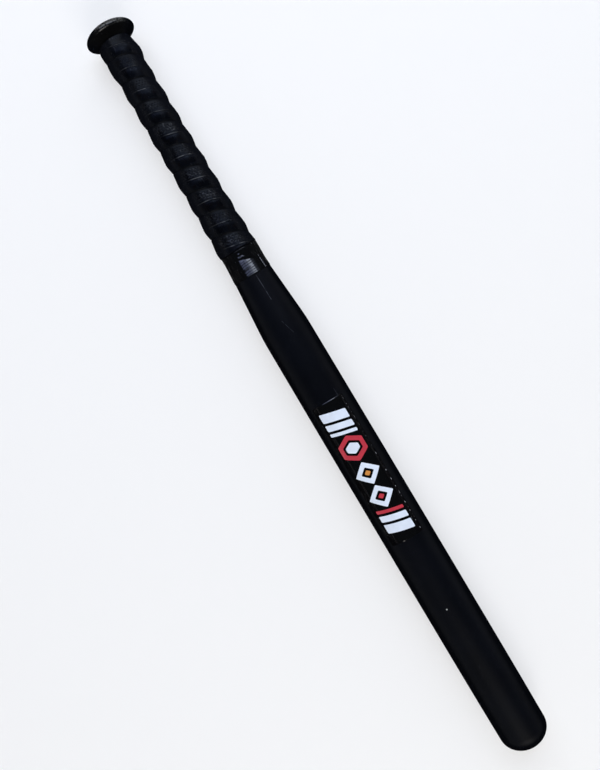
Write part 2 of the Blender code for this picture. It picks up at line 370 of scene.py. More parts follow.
class Wire:
    """A socket's value. An operator adds the node that works it out, so the maths reads as plain sums."""

    def __init__(self, tree, socket):
        self.tree = tree
        self.socket = socket

    def sums(self, operation, *values):
        """A Math node on numbers, or a Vector Math node on vectors and colours."""
        flat = self.socket.type not in {"VECTOR", "RGBA"}
        node = self.tree.nodes.new("ShaderNodeMath" if flat else "ShaderNodeVectorMath")
        node.operation = operation
        for socket, value in zip(node.inputs, values):
            feed(self.tree, socket, value)
        return Wire(self.tree, node.outputs[0])

    __add__, __radd__ = forward("ADD"), reflected("ADD")
    __sub__, __rsub__ = forward("SUBTRACT"), reflected("SUBTRACT")
    __mul__, __rmul__ = forward("MULTIPLY"), reflected("MULTIPLY")
    __truediv__, __rtruediv__ = forward("DIVIDE"), reflected("DIVIDE")
    __mod__, __rmod__ = forward("FLOORED_MODULO"), reflected("FLOORED_MODULO")
    __gt__, __lt__ = forward("GREATER_THAN"), forward("LESS_THAN")
    at_least, at_most = forward("MAXIMUM"), forward("MINIMUM")
    __abs__, floor, root = forward("ABSOLUTE"), forward("FLOOR"), forward("SQRT")


def feed(tree, socket, value):
    """Links a wire to a socket, or sets a plain value on it."""
    if isinstance(value, Wire):
        tree.links.new(value.socket, socket)
    elif isinstance(value, (int, float)) and socket.type in {"VECTOR", "RGBA"}:
        socket.default_value = [value] * len(socket.default_value)
    elif socket.type == "RGBA" and len(value) == 3:
        socket.default_value = (*value, 1.0)
    else:
        socket.default_value = value


class Finish:
    """One material: a Principled shader and the nodes that feed it."""

    def __init__(self, name):
        self.material = bpy.data.materials.new(name)
        self.material.use_nodes = True
        self.tree = self.material.node_tree
        self.shader = self.tree.nodes["Principled BSDF"]

    def node(self, kind, settings=None, values=None, output=0):
        """Any node: its settings first, then the values or wires of its sockets. Returns one output."""
        node = self.tree.nodes.new(kind)
        for key, value in (settings or {}).items():
            setattr(node, key, value)
        for key, value in (values or {}).items():
            feed(self.tree, node.inputs[key], value)
        return Wire(self.tree, node.outputs[output])

    def place(self):
        """Object coordinates, in metres."""
        return self.node("ShaderNodeTexCoord", output=3)

    def parts_of(self, vector):
        """The three numbers of a vector."""
        node = self.tree.nodes.new("ShaderNodeSeparateXYZ")
        feed(self.tree, node.inputs[0], vector)
        return [Wire(self.tree, socket) for socket in node.outputs]

    def grain(self, vector, size, stretch=(1, 1, 1), detail=2.0):
        """Noise from 0 to 1 whose spots have this size, drawn out along each axis by stretch."""
        scaled = vector * [1 / (size * share) for share in stretch]
        return self.node("ShaderNodeTexNoise", values={"Vector": scaled, "Scale": 1.0, "Detail": detail})

    def fade(self, value, low, high):
        """0 at low, 1 at high, smooth between. Works downhill too."""
        ends = {"Value": value, "From Min": low, "From Max": high}
        return self.node("ShaderNodeMapRange", {"interpolation_type": "SMOOTHSTEP"}, ends)

    def between(self, value, rise, fall):
        """1 between two fades, and 0 before the first and after the last."""
        return self.fade(value, *fall) * self.fade(value, *rise)

    def mix(self, factor, first, second):
        """A colour between two colours."""
        return self.node("ShaderNodeMix", {"data_type": "RGBA"}, {0: factor, 6: first, 7: second}, output=2)

    def bump(self, height, distance):
        """A normal from a height of 0 to 1 that stands this many metres high."""
        return self.node("ShaderNodeBump", values={"Height": height, "Distance": distance, "Strength": 1.0})

    def lay_over(self, share, cover):
        """Mixes this share of another shader over the Principled one."""
        own = Wire(self.tree, self.shader.outputs[0])
        mixed = self.node("ShaderNodeMixShader", values={0: share, 1: own, 2: cover})
        feed(self.tree, self.tree.nodes["Material Output"].inputs["Surface"], mixed)

    def dull_edges(self, start, end, colour, kept=0.0):
        """Fades the gloss into a dull colour where the view grazes the surface, except for a share kept."""
        facing = self.node("ShaderNodeLayerWeight", values={"Blend": 0.5}, output=1)
        dull = self.node("ShaderNodeBsdfDiffuse", values={"Color": colour})
        self.lay_over(self.fade(facing, start, end) * (1.0 - kept), dull)

    def whiten(self, share):
        """Mixes plain white into what camera, gloss and glass see of the surface, and keeps its shadows."""
        kinds = ("Is Camera Ray", "Is Glossy Ray", "Is Transmission Ray")
        seen = sum(self.node("ShaderNodeLightPath", output=kind) for kind in kinds)
        self.lay_over(seen.at_most(1.0) * share, self.node("ShaderNodeEmission"))

    def set(self, **values):
        """Values or wires of the Principled shader, with its sockets' names written with underscores."""
        for key, value in values.items():
            feed(self.tree, self.shader.inputs[key.replace("_", " ")], value)
        return self.material


def blend(a, b, share):
    return a + (b - a) * share


def smooth_step(low, high, value):
    """0 at low, 1 at high, smooth between. Works downhill too."""
    share = min(1.0, max(0.0, (value - low) / (high - low)))
    return share * share * (3 - 2 * share)


def hump(value, middle, half_width):
    """A smooth bump: 1 in the middle, 0 past its half width."""
    share = min(1.0, abs(value - middle) / half_width)
    return (1 - share * share) ** 2


def quarter(share):
    """Height of a quarter circle that starts steeply: 0 at share 0, 1 at share 1."""
    return math.sqrt(max(0.0, 1.0 - (1.0 - share) ** 2))


def half_wave(share):
    """A smooth rise from 0 to 1 that is level at both ends."""
    return (1 - math.cos(math.pi * share)) / 2


def ramp(start, end, value):
    """A straight rise from 0 at start to 1 at end."""
    return min(1.0, max(0.0, (value - start) / (end - start)))


def drift(*spot):
    """Smooth noise from -1 to 1 at a spot of three numbers."""
    return noise.noise(Vector(spot))


def even(start, end, steps):
    return [blend(start, end, i / steps) for i in range(steps)]


def round_in(start, end, steps):
    """Places at even angles round a quarter circle that starts steeply."""
    return [blend(start, end, 1 - math.cos(math.pi / 2 * i / steps)) for i in range(steps)]


def round_out(start, end, steps):
    """Places at even angles round a quarter circle that ends steeply."""
    return [blend(start, end, math.sin(math.pi / 2 * i / steps)) for i in range(steps)]


def plain(group):
    """The values of a PropertyGroup as plain names, which are much quicker to read in a long loop."""
    return SimpleNamespace(**{key: getattr(group, key) for key in group.bl_rna.properties.keys()})


class Billet:
    """The billet's outline: where its stretches start, and its radius at any place."""

    def __init__(self, sizes):
        self.sizes = s = plain(sizes)
        self.neck = s.rim_depth + s.knob_back_length
        self.flare_end = self.neck + s.flare_length
        self.taper = self.neck + s.handle_length
        self.shoulder = self.taper + s.taper_length
        self.crown = self.shoulder + s.crown_place
        self.tip = s.length - s.tip_length

    def handle(self, place):
        s = self.sizes
        along = place - self.neck
        flare = (s.neck_radius - s.handle_radius) * max(0.0, 1 - along / s.flare_length) ** 2
        share = max(0.0, (place - self.flare_end) / (self.taper - self.flare_end))
        swell = blend(share**s.swell_power, share, s.steady_share)
        return s.handle_radius + flare + (s.handle_end_radius - s.handle_radius) * swell

    def cone(self, place):
        s = self.sizes
        rise = s.shoulder_radius - s.handle_end_radius
        slope = rise / (s.taper_length - s.shoulder_round / 2)
        into_round = max(0.0, place - (self.shoulder - s.shoulder_round))
        straight = s.handle_end_radius + slope * (place - self.taper)
        return straight - slope * into_round**2 / (2 * s.shoulder_round)

    def barrel(self, place):
        s = self.sizes
        if place < self.crown:
            share = (place - self.shoulder) / s.crown_place
            return blend(s.barrel_radius, s.shoulder_radius, (1 - share) ** 2)
        share = (place - self.crown) / (self.tip - self.crown)
        return blend(s.barrel_radius, s.tip_radius, share**3)

    def radius(self, place):
        s = self.sizes
        if place < s.rim_depth:
            return blend(s.knob_face_radius, s.knob_radius, quarter(place / s.rim_depth))
        if place < self.neck:
            share = (place - s.rim_depth) / s.knob_back_length
            return blend(s.knob_radius, s.neck_radius, half_wave(share))
        if place < self.taper:
            return self.handle(place)
        if place < self.shoulder:
            return self.cone(place)
        if place < self.tip:
            return self.barrel(place)
        return s.tip_radius * quarter((s.length - place) / s.tip_length)

    def outline(self):
        """Points of (place, radius), which start and end on the turning axis."""
        s = self.sizes
        round_start = self.shoulder - s.shoulder_round
        # How the points of a stretch are spread, where it starts and ends, and how many they are
        stretches = (
            (round_in, 0.0, s.rim_depth, 18),
            (even, s.rim_depth, self.neck, 24),
            (even, self.neck, self.taper, 40),
            (even, self.taper, round_start, 8),
            (even, round_start, self.shoulder, 8),
            (even, self.shoulder, self.tip, 60),
            (round_out, self.tip, s.length, 26),
        )
        line = [(0.0, s.knob_face_radius * share) for share in even(0, 1, 5)]
        for spread, *ends_and_points in stretches:
            line += [(place, self.radius(place)) for place in spread(*ends_and_points)]
        return line + [(s.length, 0.0)]


def at(place, angle, radius):
    """A point on the bat: its place along it, its angle from the top towards +Y, and its radius."""
    return Vector((KNOB_FACE_X + place, radius * math.sin(angle), AXIS_HEIGHT + radius * math.cos(angle)))


def angle_of(point):
    return math.atan2(point.y, point.z - AXIS_HEIGHT)


def below(angle):
    """0 on top of the bat, and 1 at its sides and underneath."""
    return 1 - max(0.0, math.cos(angle))


def turned(line, sides, centre=(0, 0, AXIS_HEIGHT), axis=(1, 0, 0)):
    """A bmesh of a line of points turned about an axis, which is the bat's own unless another is named."""
    bm = bmesh.new()
    points = [bm.verts.new(point) for point in line]
    edges = [bm.edges.new(pair) for pair in zip(points, points[1:])]
    geom = points + edges
    bmesh.ops.spin(bm, geom=geom, cent=centre, axis=axis, angle=FULL_TURN, steps=sides, use_merge=True)
    bmesh.ops.remove_doubles(bm, verts=bm.verts[:], dist=MERGE_GAP)
    return bm


def smooth_mesh(name, bm, material):
    """A smoothly shaded mesh from a bmesh, with its faces pointing outwards."""
    bmesh.ops.recalc_face_normals(bm, faces=bm.faces[:])
    mesh = bpy.data.meshes.new(name)
    bm.to_mesh(mesh)
    bm.free()
    mesh.shade_smooth()
    mesh.materials.append(material)
    return mesh


def put_in_scene(name, data):
    """A new object in the scene that holds a mesh, lamp or camera."""
    holder = bpy.data.objects.new(name, data)
    bpy.context.scene.collection.objects.link(holder)
    return holder


def add_piece(name, bm, material, node=None):
    """A finished piece from a bmesh. It rides on the bat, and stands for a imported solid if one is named."""
    mesh = smooth_mesh(name, bm, material)
    mesh.set_sharp_from_angle(angle=SHARP_ANGLE)
    piece = put_in_scene(name, mesh)
    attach(piece, BODY)
    if node:
        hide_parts(node)


def line_mark(finish, parts, start, end, half_width):
    """1 along a straight scratch on the top of the bat, seen from above, and 0 away from it."""
    x, y, z = parts
    run = end[0] - start[0]
    share = (x - start[0]) / run
    off_line = abs(y - (start[1] + share * (end[1] - start[1])))
    inside = (share > 0.0) * (share < 1.0) * (z > AXIS_HEIGHT)
    return inside * finish.fade(off_line, half_width, half_width * 0.4)


def shades(colour, *levels):
    """The same colour at each of these levels of brightness."""
    return [[channel * level for channel in colour] for level in levels]


def paint_finish(wood):
    """Satin black paint: faint grain shows through it, the knob's back is darkened with painted shade, and it
    has a few scratches.
    """
    finish = Finish("satin_black_paint")
    point = finish.place()
    parts = finish.parts_of(point)
    from_face = parts[0] - KNOB_FACE_X
    grain = finish.grain(point, 0.0011, stretch=(30, 1, 1), detail=3)
    figure = finish.grain(point, 0.012, stretch=(14, 1, 1), detail=2)
    peel = finish.grain(point, 0.0016, detail=1)
    smears = finish.grain(point, 0.030, stretch=(2, 1, 1), detail=3)
    knob = finish.fade(from_face, *KNOB_SHADE)
    rub = finish.grain(point, 0.0009, stretch=(12, 1, 1), detail=2)
    scuffs = 0.0
    for start, end, half_width, strength in SCRATCHES:
        scuffs = scuffs + strength * line_mark(finish, parts, start, end, half_width)
    scuffs = (scuffs * finish.fade(rub, 0.32, 0.52)).at_most(1.0)
    ends = {0: point, 1: at(*FLECK)}
    fleck_off = finish.node("ShaderNodeVectorMath", {"operation": "DISTANCE"}, ends, output=1)
    fleck = finish.fade(fleck_off, *FLECK_EDGE)
    dark = finish.mix(finish.fade(smears, 0.3, 0.7), *shades(wood.paint, 0.85, 1.2))
    # Painted shade: the knob's back is made darker than the rest of the paint
    knob_painted_shade = finish.mix(knob, dark, shades(wood.paint, 0.15)[0])
    scuffed = finish.mix(scuffs * 0.55, knob_painted_shade, SCRATCH_COLOUR)
    colour = finish.mix(fleck, scuffed, FLECK_COLOUR)
    rough = 0.40 + 0.10 * smears + 0.05 * grain + 0.30 * knob + 0.15 * scuffs
    normal = finish.bump(0.6 * grain + 0.8 * figure + 0.35 * peel, 0.00003)
    rim = finish.between(from_face, *POLISHED_ALONG)
    dust = finish.grain(point, 0.0016, detail=3)
    lit_side = finish.between(parts[1], *POLISHED_ACROSS)
    polish = rim * lit_side * finish.fade(dust, 0.27, 0.57)
    finish.dull_edges(0.20, 0.50, wood.dull, kept=polish)
    return finish.set(
        Base_Color=colour,
        Roughness=rough,
        Specular_IOR_Level=0.05,
        Coat_Weight=polish,
        Coat_Roughness=0.18,
        Normal=normal,
    )


class BAT_OT_billet(bpy.types.Operator):
    """Turns the painted wooden billet: knob, handle, taper, barrel and tip in one piece"""

    bl_idname = "bat.billet"
    bl_label = "Turned billet"

    def execute(self, context):
        billet = Billet(context.scene.bat_billet)
        bm = turned([at(place, 0.0, radius) for place, radius in billet.outline()], billet.sizes.sides)
        add_piece("turned_billet", bm, paint_finish(billet.sizes), "bat_body")
        return {"FINISHED"}


def tape_relief(tape, share, turns):
    """How far the strip's face stands over its plain padded form, at a share of its width. The fixed
    numbers in each drift only keep it apart from the others."""
    along = turns * SPOTS_PER_TURN
    near_seam = max(0.0, 1 - min(share, 1 - share) / tape.dip_share)
    dip = tape.dip_depth * near_seam**2 * (1 + 0.5 * drift(along * 0.5, 7.0, 0.0))
    middle = tape.welt_share + WELT_SWAY * drift(along * 0.7, 9.3, 0.0)
    groove = GROOVE_DEPTH * hump(share, middle - GROOVE_OFF, WELT_REACH)
    ridge = hump(share, middle + RIDGE_OFF, WELT_REACH) - groove
    welt = tape.welt_height * ridge * (1 + 0.8 * drift(along * 1.1, 4.1, 2.0))
    rolled = tape.roll * (hump(share, 0.0, ROLL_REACH[0]) + hump(share, 1.0, ROLL_REACH[1]))
    swell = tape.swell * drift(along * 0.6, share * 1.5, 3.1)
    lumps = tape.lumps * drift(along * 2.4, share * 6.0, 11.7)
    worked = smooth_step(*WRINKLED_TURNS, turns) * (0.15 + 0.85 * hump(share, *WRINKLED))
    wrinkle = tape.wrinkle * drift(along * 5.0 + share * 8.0, share * 10.0, 23.0)
    return welt - dip - rolled + (swell + lumps + wrinkle * worked) * hump(share, 0.5, 0.62)


def tape_thickness(tape, share, place):
    """Thickness of the padding: a ridge along the strip. It lies double where the grip starts."""
    if share < tape.crest_share:
        rise = half_wave(share / tape.crest_share)
    else:
        rise = half_wave((1 - share) / (1 - tape.crest_share))
    lap = half_wave(2 * ramp(0.0, tape.start_lap_length, place - tape.start))
    return blend(tape.edge_thickness, tape.crest_thickness, rise) + tape.start_lap * lap


def tape_shares():
    """Shares across the strip where its face has a point: close together at the edges and the welt."""
    shares = []
    start = 0.0
    for end, points in TAPE_POINTS:
        shares += even(start, end, points)
        start = end
    return shares + [start]


def wind_strip(bm, tape, across, lift):
    """Spins the strip's section along its helix. Each point keeps its share across and its side."""
    width = tape.pitch - tape.seam_gap
    first_turns = tape.tail_width / tape.pitch
    last_turns = (tape.end - tape.start + width - tape.tail_width) / tape.pitch
    turns = last_turns - first_turns
    steps = math.ceil(turns * tape.steps)
    angle = math.pi / 2 - tape.start_angle + FULL_TURN * first_turns
    near_edge = tape.start + tape.pitch * first_turns - width
    face = [(share, 1.0) for share in tape_shares()]
    back = [(share, 0.0) for share in even(1.0, 0.0, 6) + [0.0]]
    points = []
    for share, side in face + back:
        point = bm.verts.new(at(near_edge + share * width, angle, TAPE_HIGH.y))
        point[across] = share
        point[lift] = side
        points.append(point)
    edges = [bm.edges.new((points[i - 1], points[i])) for i in range(len(points))]
    climb = (tape.pitch * turns / steps, 0, 0)
    bmesh.ops.spin(
        bm, geom=points + edges, cent=(0, 0, AXIS_HEIGHT), axis=(1, 0, 0), dvec=climb,
        angle=-FULL_TURN * turns, steps=steps, use_merge=False,
    )
    bmesh.ops.holes_fill(bm, edges=[edge for edge in bm.edges if edge.is_boundary], sides=0)
    lengthwise = [edge for edge in bm.edges if runs_lengthwise(edge, across, tape.pitch / tape.steps)]
    bmesh.ops.subdivide_edges(bm, edges=lengthwise, cuts=tape.cuts)


def runs_lengthwise(edge, across, step):
    """Whether an edge joins the same point of two rings, one step of the helix apart."""
    one, other = edge.verts
    climb = abs(one.co.x - other.co.x)
    return abs(climb - step) < step * 0.02 and abs(one[across] - other[across]) < 1e-4


def wander(place, angle):
    """A slow drift along the bat, because no hand winds a tape quite evenly."""
    return STRAY * drift(place * 45, 1.2 * math.sin(angle), 1.2 * math.cos(angle))


def shape_strip(bm, tape, wood, across, lift):
    """Lays each point of the wound strip on the handle, and gives the face its padded form."""
    width = tape.pitch - tape.seam_gap
    strip = bm.loops.layers.uv.new("strip")
    lengthways = {}
    for point in bm.verts:
        share = point[across]
        turns = (point.co.x - KNOB_FACE_X - tape.start + width * (1 - share)) / tape.pitch
        angle = angle_of(point.co)
        far_edge = tape.start + tape.pitch * turns
        cut = tape.end - below(angle) * tape.end_bow
        first = max(far_edge - width, tape.start)
        place = blend(first, min(far_edge, cut), share)
        real_share = (place - far_edge + width) / width
        after_start = smooth_step(0.0, STRAY_FREE, place - tape.start)
        before_cut = smooth_step(0.0, STRAY_FREE, cut - place)
        place += wander(place, angle) * (after_start * before_cut)
        radius = wood.radius(place) + tape.seat
        if point[lift] > 0.5:
            radius += tape_thickness(tape, real_share, place) + tape_relief(tape, real_share, turns)
            radius += CUT_SWELL * hump(place, cut - CUT_REACH, CUT_REACH)
        point.co = at(place, angle, radius)
        lengthways[point] = (turns * FULL_TURN * HANDLE_REACH, real_share * width)
    for side in bm.faces:
        for loop in side.loops:
            loop[strip].uv = lengthways[loop.vert]


def perforations(finish, tape, strip):
    """Masks of the holes between the seam and the welt, and of the scuffed skin round them, which the finish
    lightens as a painted highlight.
    """
    along, across = finish.parts_of(strip)[:2]
    row_step = tape.hole_pitch * ROW_SHARE
    shifted = along + ((across / row_step).floor() % 2.0) * (tape.hole_pitch / 2)
    off_along = (shifted % tape.hole_pitch) - tape.hole_pitch / 2
    off_across = (across % row_step) - row_step / 2
    off_hole = (off_along * off_along + off_across * off_across).root()
    punched = finish.between(across, *PUNCHED) * finish.fade(along, *PAST_LAP)
    hole = finish.fade(off_hole, tape.hole_radius * 1.25, tape.hole_radius * 0.75)
    rubbed = finish.fade(finish.grain(strip, 0.030, detail=1), 0.42, 0.62)
    scuffed = finish.fade(finish.grain(strip, 0.0021, detail=1), 0.50, 0.60) * (1.0 - hole) * rubbed
    return punched * hole, punched * scuffed


def tape_finish(tape):
    """Padded tape: a sheen along each turn, perforations beside the seam, fine pebbles, a painted highlight
    on the scuffed rims of the holes, and painted shade in the holes, in the seams and beside them.
    """
    finish = Finish("padded_tape")
    strip = finish.node("ShaderNodeUVMap", {"uv_map": "strip"})
    across = finish.parts_of(strip)[1]
    point = finish.place()
    hole, scuffed = perforations(finish, tape, strip)
    width = tape.pitch - tape.seam_gap
    last_seam = finish.fade(width - across, *LAST_SEAM)
    seam = finish.fade(across, *FIRST_SEAM).at_least(last_seam)
    valley = finish.fade(across.at_most(width - across), *VALLEY)
    pebble = finish.grain(point, 0.0007, detail=2)
    worn = finish.grain(point, 0.009, detail=3)
    browner = finish.grain(point, 0.0045, detail=2)
    creases = finish.grain(strip, 0.0011, stretch=(2.2, 9, 1), detail=2)
    cold = finish.mix(finish.fade(worn, 0.3, 0.7), *shades(tape.colour, 0.8, 1.25))
    body = finish.mix(finish.fade(browner, 0.50, 0.62), cold, tape.warm)
    # The skin round the holes is painted three times lighter: partly real scuffing, partly a painted
    # highlight on the rims of the holes
    raised = finish.mix(scuffed * 0.5, body, shades(tape.colour, 3.0)[0])
    # Painted shade: the holes, the seams and the valley beside them are darkened, as shade falls in these
    # hollows
    colour = finish.mix((hole * 0.9).at_least(seam * 0.8).at_least(valley * 0.55), raised, PAINTED_TAPE_SHADE)
    rough = 0.22 + 0.10 * finish.fade(worn, 0.3, 0.7) + 0.40 * hole + 0.15 * valley
    normal = finish.bump(0.25 * pebble + 0.30 * creases + 0.3 * scuffed - 1.6 * hole, 0.00022)
    finish.dull_edges(0.13, 0.38, tape.dull)
    welt = finish.fade(abs(across - width * tape.welt_share - POLISH_OFF), *WELT_POLISH)
    polished = welt * finish.fade(worn, 0.40, 0.56) + 0.6 * scuffed + 0.5 * finish.fade(creases, 0.62, 0.74)
    return finish.set(
        Base_Color=colour,
        Roughness=rough,
        Specular_IOR_Level=0.08,
        Specular_Tint=(0.74, 0.83, 1.0),
        Coat_Weight=(0.55 * polished).at_most(0.55),
        Coat_Roughness=0.28,
        Normal=normal,
    )


class BAT_OT_tape(bpy.types.Operator):
    """Winds the padded tape round the handle as one unbroken strip"""

    bl_idname = "bat.tape"
    bl_label = "Padded tape"

    def execute(self, context):
        tape = plain(context.scene.bat_tape)
        bm = bmesh.new()
        across = bm.verts.layers.float.new("across")
        lift = bm.verts.layers.float.new("lift")
        wind_strip(bm, tape, across, lift)
        shape_strip(bm, tape, Billet(context.scene.bat_billet), across, lift)
        add_piece("wound_tape", bm, tape_finish(tape), "grip_tape")
        return {"FINISHED"}


def band_relief(band, along, angle):
    """Relief of the film at a distance from its edge: the lip of its free end, a crease across the top,
    fine rings, dents where it bridges the step, and streaks along its sides."""
    past_step = smooth_step(*STEP_END, along)
    lip_place = past_step + hump(along, *LIP_ALONG)
    lip_top = band.lip_angle + LIP_RISE
    lip = ramp(band.lip_angle, lip_top, angle) * ramp(lip_top + LIP_FALL, lip_top, angle)
    creased = hump(along, CREASE_PLACE - CREASE_SLANT * angle, CREASE_REACH)
    crease = FILM_CREASE * creased * hump(angle, *CREASE_ROUND)
    ring_place = (along / band.ring_pitch + 0.25 * math.sin(3 * angle)) % 1.0
    rings = -band.ring_depth * hump(ring_place, 0.5, 0.24) * past_step
    dented = hump(along, *DENTS_ALONG) * hump(angle, *DENTS_ROUND)
    dent = band.dent_depth * drift(along * 480, angle * 8.0, 3.3) * dented
    before_lip = 1 - ramp(band.lip_angle - 0.1, band.lip_angle, angle)
    streaked = smooth_step(*STREAK_ANGLES, abs(angle)) * before_lip
    streaks = STREAKS * drift(along * 45, angle * 26.0, 8.3) * streaked
    soft = SOFTNESS * drift(along * 90, math.sin(angle) * 2.1, math.cos(angle) * 2.1)
    return band.lip_height * lip * lip_place + crease + rings + dent + streaks + soft


def film_finish(name, colour, roughness, dull, dull_start, dull_end, glint_line_y=None):
    """Glossy black film with faint haze and dust, and streaks of gloss that stay along its sides. It may
    have a line of short white dashes, painted glints that stand for light caught on creases in the film."""
    finish = Finish(name)
    point = finish.place()
    haze = finish.grain(point, 0.010, detail=4)
    dust = finish.grain(point, 0.0006, detail=1)
    specks = finish.fade(dust, 0.80, 0.86)
    shade = finish.mix(specks * 0.25, colour, DUST_COLOUR)
    if glint_line_y is not None:
        y = finish.parts_of(point)[1]
        # Short white dashes along one line: painted glints on creases in the film
        glint_dashes = finish.fade(finish.grain(point * (1.0, 0.0, 0.0), 0.0036, detail=1), 0.50, 0.56)
        creases = glint_dashes * finish.fade(abs(y - glint_line_y), 0.0005, 0.0002)
        shade = finish.mix(creases, shade, PAINTED_GLINT_COLOUR)
    rough = roughness + 0.06 * finish.fade(haze, 0.45, 0.75) + 0.3 * specks
    streaks = finish.fade(finish.grain(point, 0.0009, stretch=(9, 1, 1), detail=2), 0.50, 0.72)
    finish.dull_edges(dull_start, dull_end, dull, kept=0.22 * streaks)
    return finish.set(Base_Color=shade, Roughness=rough, Specular_IOR_Level=0.5)


class BAT_OT_band(bpy.types.Operator):
    """Wraps the glossy film round the end of the tape"""

    bl_idname = "bat.band"
    bl_label = "Finishing film"

    def execute(self, context):
        band = plain(context.scene.bat_band)
        wood = Billet(context.scene.bat_billet)
        places = even(band.start, band.end, band.rows) + [band.end]
        # The underside is plain, so it has only every eighth of the points
        line = [at(place, 0.0, wood.radius(place) + band.seat) for place in places[::8]]
        line += [at(place, 0.0, wood.radius(place) + 2 * band.step) for place in reversed(places)]
        bm = turned(line + line[:1], band.sides)
        for point in bm.verts:
            along = point.co.x - KNOB_FACE_X - band.start
            angle = angle_of(point.co)
            off_axis = (point.co - at(band.start + along, 0.0, 0.0)).length
            outside = off_axis - wood.radius(band.start + along) > band.step
            place = band.start + along - below(angle) * band.bow
            radius = wood.radius(place) + band.seat
            if outside:
                level = wood.radius(band.start) + band.step + band.step_slant * math.sin(angle)
                level -= band.fall * along
                edge = smooth_step(0.0, band.edge_roll, along)
                edge *= smooth_step(0.0, band.edge_roll, band.end - band.start - along)
                radius = max(level, wood.radius(place) + band.height)
                radius += band_relief(band, along, angle) * edge - band.edge_drop * (1 - edge)
            point.co = at(place, angle, radius)
        finish = film_finish("glossy_film", band.colour, 0.04, band.dull, 0.06, 0.15)
        add_piece("finishing_film", bm, finish, "grip_end_band")
        return {"FINISHED"}


def label_lift(label, along, across):
    """Height of the film over the paint, with along from its first edge and across from its middle."""
    from_long_edge = label.width / 2 - abs(across)
    from_last_end = label.length - along
    from_start = ramp(0.0, FIRST_EDGE, along)
    flat = smooth_step(0.0, ROUNDED_EDGE, min(from_long_edge, from_last_end)) * from_start
    ridge = label.first_ridge * from_start * ramp(RIDGE_END, FIRST_EDGE, along)
    wave = FULL_TURN * along / label.pucker_pitch + 2.2 * drift(along * 60, 2.0, 0.0)
    strength = 1.0 if across > 0 else WEAK_SIDE
    puckers = strength * label.pucker * max(0.0, math.sin(wave)) ** 3 * hump(from_long_edge, *PUCKERED)
    tuck_wave = max(0.0, math.sin(FULL_TURN * across / TUCK_PITCH + 1.3))
    tucks = TUCK_SHARE * label.pucker * tuck_wave**2 * hump(from_last_end, *TUCKED)
    calm = CALM * drift(along * 95, across * 120, 5.0)
    corner = Vector((along - FOLD_PLACE[0], across + label.width / 2 - FOLD_PLACE[1]))
    off_fold = corner.x * FOLD_WAY[0] + corner.y * FOLD_WAY[1]
    fold = FOLD_HEIGHT * hump(off_fold, 0.0, FOLD_HALF_WIDTH) * hump(corner.length, 0.0, FOLD_REACH)
    return label.seat + (label.rise + calm) * flat + ridge + puckers + tucks + fold


def bend_on_barrel(bm, label, wood, lift):
    """Rolls a flat bmesh, with x along the label and y across it, on the barrel. z is its own height."""
    for point in bm.verts:
        along, across, own = point.co
        place = label.start + along
        radius = wood.radius(place) + label_lift(label, along, across) + lift + own
        point.co = at(place, across / wood.sizes.barrel_radius - label.lean, radius)


class BAT_OT_label(bpy.types.Operator):
    """Lays the film label on the barrel"""

    bl_idname = "bat.label"
    bl_label = "Barrel label"

    def execute(self, context):
        label = plain(context.scene.bat_label)
        bm = bmesh.new()
        bmesh.ops.create_grid(bm, x_segments=label.columns, y_segments=label.rows, size=0.5)
        inner = Vector((label.length / 2 - label.corner, label.width / 2 - label.corner))
        for point in bm.verts:
            flat = Vector((point.co.x * label.length, point.co.y * label.width))
            over = Vector((max(0.0, abs(flat.x) - inner.x), max(0.0, abs(flat.y) - inner.y)))
            if over.length > label.corner:
                over *= label.corner / over.length
                flat.x = math.copysign(inner.x + over.x, flat.x)
                flat.y = math.copysign(inner.y + over.y, flat.y)
            point.co = (flat.x + label.length / 2, flat.y, 0.0)
        bmesh.ops.solidify(bm, geom=bm.faces[:], thickness=label.thickness)
        top = max(point.co.z for point in bm.verts)
        bend_on_barrel(bm, label, Billet(context.scene.bat_billet), label.thickness - top)
        finish = film_finish("label_film", label.film, 0.08, label.dull, 0.07, 0.20, label.crease)
        add_piece("label_film", bm, finish, "barrel_label")
        return {"FINISHED"}


def slanted_bar(start, width):
    """Corners of a full-height bar, in shares of the print's length and height."""
    end = start + width
    return [(start, 0.0), (end, 0.0), (end + BAR_LEAN, 1.0), (start + BAR_LEAN, 1.0)]


def hexagon(start, end, shoulder):
    """Corners of a hexagon that points both ways along the bat."""
    near, far = start + shoulder, end - shoulder
    return [(start, 0.5), (near, 0.0), (far, 0.0), (end, 0.5), (far, 1.0), (near, 1.0)]


def diamond(start, end):
    """Corners of a full-height diamond."""
    middle = (start + end) / 2
    return [(start, 0.5), (middle, 0.0), (end, 0.5), (middle, 1.0)]


def motif(outline, part, ink):
    """A printed shape with rounded corners, flat on the label: whole, or only its frame or its core."""
    shape = bmesh.new()
    for along, across in outline:
        shape.verts.new((ink.start + along * ink.length, ink.middle + (across - 0.5) * ink.height, 0.0))
    middle = [shape.faces.new(shape.verts[:])]
    shape.normal_update()
    if part != "whole":
        frame = inset(shape, middle, ink.stroke)
        gap = inset(shape, middle, ink.gap)
        bmesh.ops.delete(shape, geom=gap + (middle if part == "frame" else frame), context="FACES")
    bmesh.ops.bevel(
        shape, geom=shape.verts[:], offset=ink.corner, offset_type="OFFSET", affect="VERTICES",
        segments=3, profile=0.5, clamp_overlap=True, material=-1,
    )
    return shape


def inset(shape, faces, width):
    """Insets faces by a width, and returns the rim of new faces round them."""
    return bmesh.ops.inset_region(
        shape, faces=faces, use_boundary=True, thickness=width, use_even_offset=True
    )["faces"]


def cut_across(bm, middle, normal):
    """Cuts a flat bmesh in two along a line, so that it can bend there."""
    geom = bm.verts[:] + bm.edges[:] + bm.faces[:]
    bmesh.ops.bisect_plane(bm, geom=geom, dist=1e-7, plane_co=middle, plane_no=normal)


